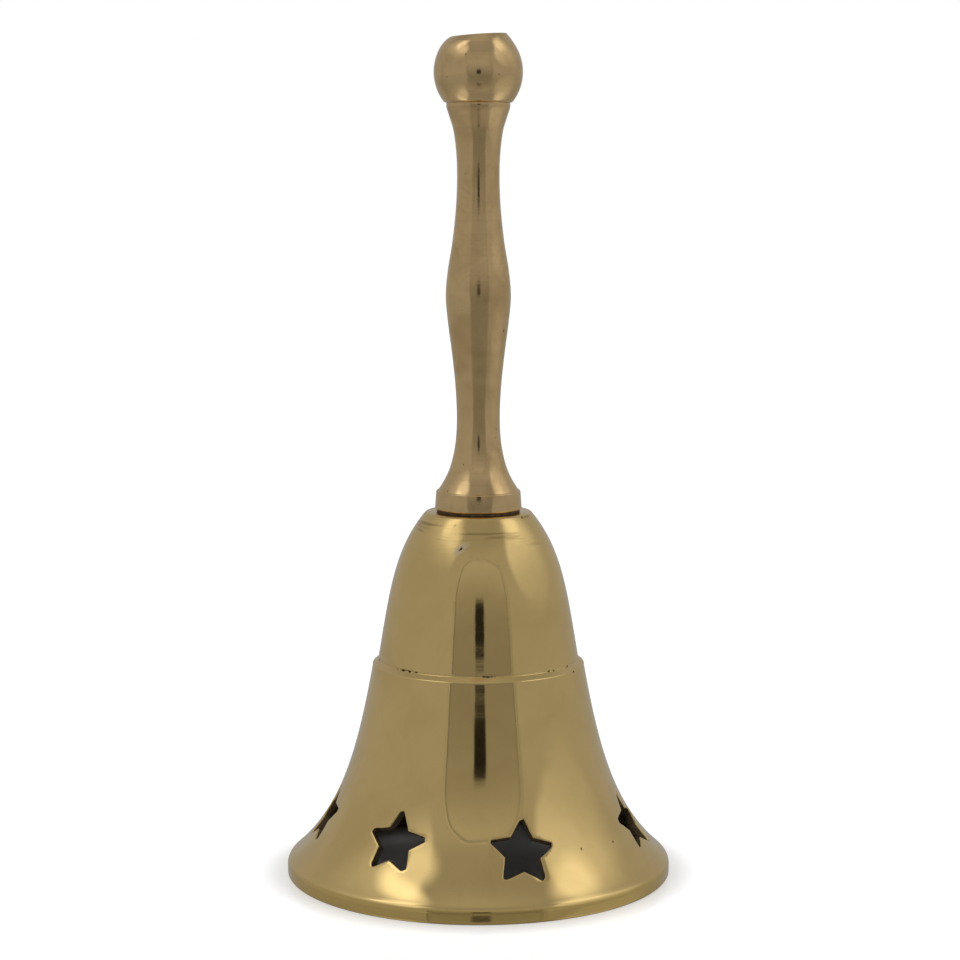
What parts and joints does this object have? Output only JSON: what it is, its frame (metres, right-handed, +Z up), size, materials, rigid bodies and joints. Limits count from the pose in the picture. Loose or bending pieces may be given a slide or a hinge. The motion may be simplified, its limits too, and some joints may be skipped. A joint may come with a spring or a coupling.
{
  "type": "hand bell",
  "caption": "Brass hand bell with a turned handle and ball end, a flared skirt pierced with stars, and a clapper hanging inside from an eye and a link.",
  "frame": {"origin": "centre of the rim, on the plane the bell stands on", "axes": "+Z up the bell's axis to the ball, -Y the front of the bell, +X its right side seen from the front"},
  "size_m": [0.0702, 0.0702, 0.1524],
  "materials": {
    "bell_brass": "polished, fine turning scratches, dirt in the step",
    "handle_brass": "polished, slightly redder, small casting pits",
    "clapper_brass": "turned, tarnished",
    "steel": "dull zinc grey wire and hardware",
    "fibre": "dark pressed packing"
  },
  "bodies": {
    "bell": {"bell_shell": "bell_brass", "crown_washer": "fibre", "handle_stem": "handle_brass", "finial_stud": "steel", "finial_ball": "handle_brass", "inner_washer": "steel", "lock_nut": "steel", "eye_bolt": "steel"},
    "link": {"link_ring": "steel"},
    "clapper": {"clapper_rod": "steel", "clapper_ball": "clapper_brass"}
  },
  "joints": [
    {"name": "link_swing", "type": "hinge", "parent": "bell", "child": "link", "pos_m": [0, 0, 0.0525], "axis": [1, 0, 0], "range_deg": [-6, 6]},
    {"name": "clapper_swing", "type": "hinge", "parent": "link", "child": "clapper", "pos_m": [0, 0, 0.0445], "axis": [0, 1, 0], "range_deg": [-29.5, 29.5]}
  ]
}
